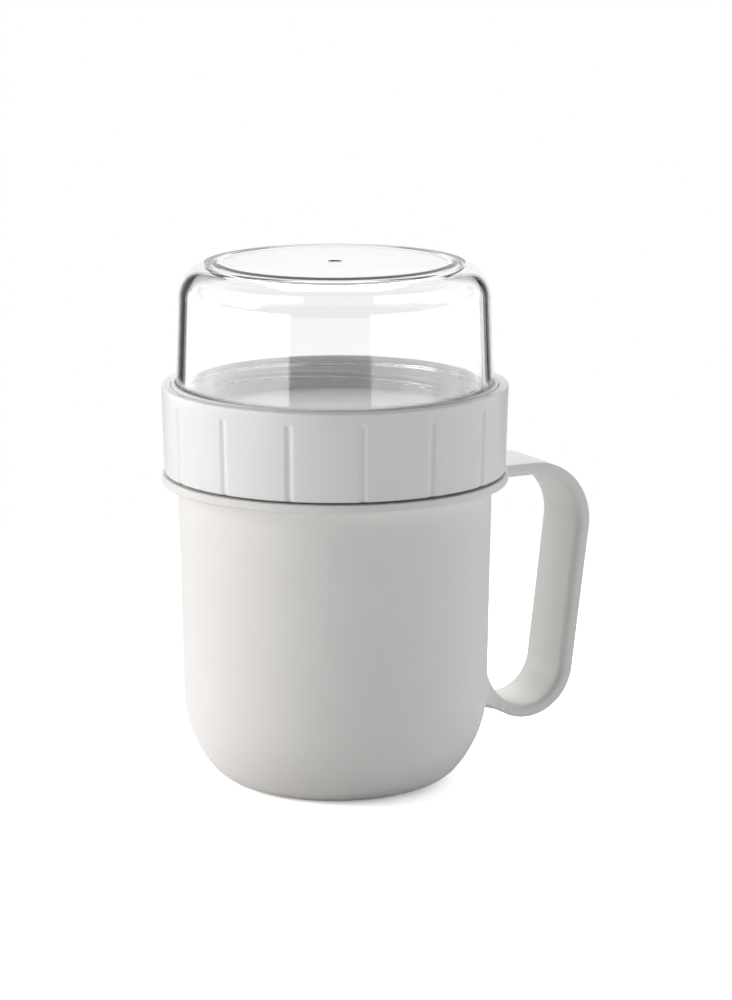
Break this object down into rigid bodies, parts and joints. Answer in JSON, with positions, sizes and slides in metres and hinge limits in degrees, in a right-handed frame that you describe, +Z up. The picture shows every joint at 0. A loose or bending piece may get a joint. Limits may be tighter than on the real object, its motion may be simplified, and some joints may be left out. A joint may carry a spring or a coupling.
{
  "type": "soup mug with screw lid and clear bowl",
  "caption": "Handled mug with a screw lid whose well carries a clear upturned bowl, for carrying soup and a dry side apart.",
  "frame": {"origin": "centre of the mug's flat foot, on the mug's axis", "axes": "+Z up along the mug's axis, +X towards the handle, +Y across the handle's strap"},
  "size_m": [0.1372, 0.1062, 0.1613],
  "materials": {
    "mug": "satin",
    "lid": "satin gloss",
    "seal": "matt",
    "clear": "polished clear"
  },
  "bodies": {
    "mug": {"mug_body": "mug"},
    "lid_seal": {"lid_seal": "seal"},
    "lid": {"screw_lid": "lid"},
    "bowl_seal": {"bowl_seal": "seal"},
    "bowl": {"clear_bowl": "clear"}
  },
  "joints": [
    {"name": "lid_rise", "type": "slide", "parent": "mug", "child": "lid_seal", "axis": [0, 0, 1], "range_m": [0, 0.018]},
    {"name": "lid_turn", "type": "hinge", "parent": "lid_seal", "child": "lid", "pos_m": [0, 0, 0.105], "axis": [0, 0, 1], "range_deg": [0, 720]},
    {"name": "bowl_rise", "type": "slide", "parent": "lid", "child": "bowl_seal", "axis": [0, 0, 1], "range_m": [0, 0.0135]},
    {"name": "bowl_turn", "type": "hinge", "parent": "bowl_seal", "child": "bowl", "pos_m": [0, 0, 0.118], "axis": [0, 0, 1], "range_deg": [0, 540]}
  ],
  "couplings": [
    {"joint": "lid_rise", "follows": "lid_turn", "m_per_rad": 0.0014324},
    {"joint": "bowl_rise", "follows": "bowl_turn", "m_per_rad": 0.0014324}
  ]
}
